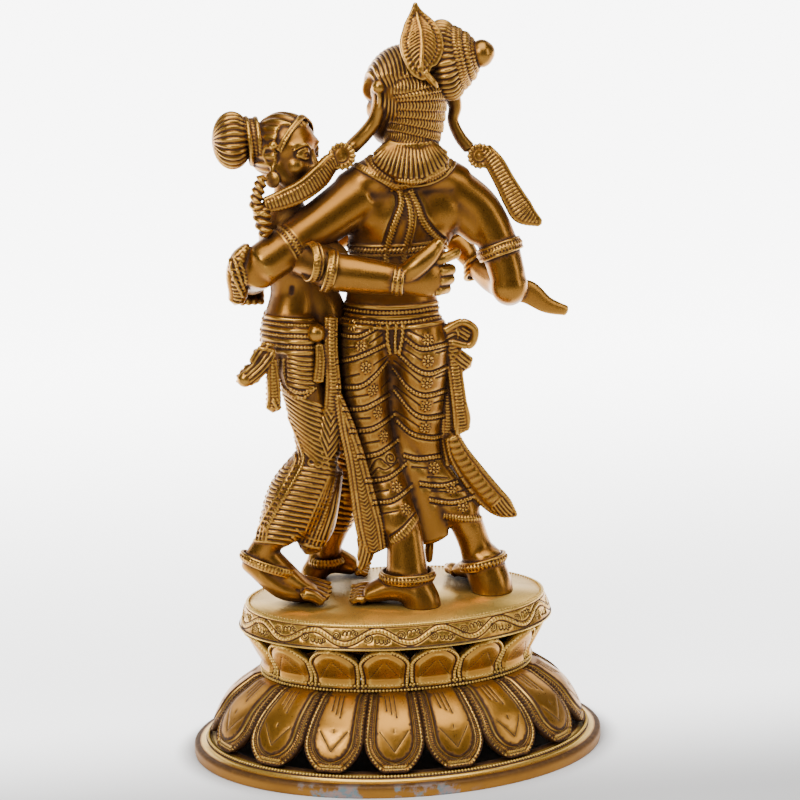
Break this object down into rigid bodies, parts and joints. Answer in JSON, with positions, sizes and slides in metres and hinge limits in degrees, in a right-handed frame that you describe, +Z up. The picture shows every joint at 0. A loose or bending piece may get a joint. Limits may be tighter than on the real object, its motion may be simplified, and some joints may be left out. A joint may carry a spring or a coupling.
{
  "type": "religious statue",
  "caption": "Cast brass statue of an embracing dancing couple in draped, beaded dress, standing on a hollow oval double lotus pedestal.",
  "frame": {"origin": "centre of the pedestal's underside, which is the lowest point and the centre of the overall outline", "axes": "+Z up, +X along the oval pedestal's long axis, towards the taller figure's free elbow; -Y is the side at the taller figure's back"},
  "size_m": [0.32, 0.24, 0.5737],
  "materials": {
    "pedestal_brass": "polished casting with dark brown patina in the recesses and tarnish flecks at the rim",
    "figure_brass": "polished casting with dark brown patina in the chased lines and folds"
  },
  "bodies": {
    "root": {"lotus_pedestal": "pedestal_brass", "dancing_couple": "figure_brass"}
  },
  "joints": []
}
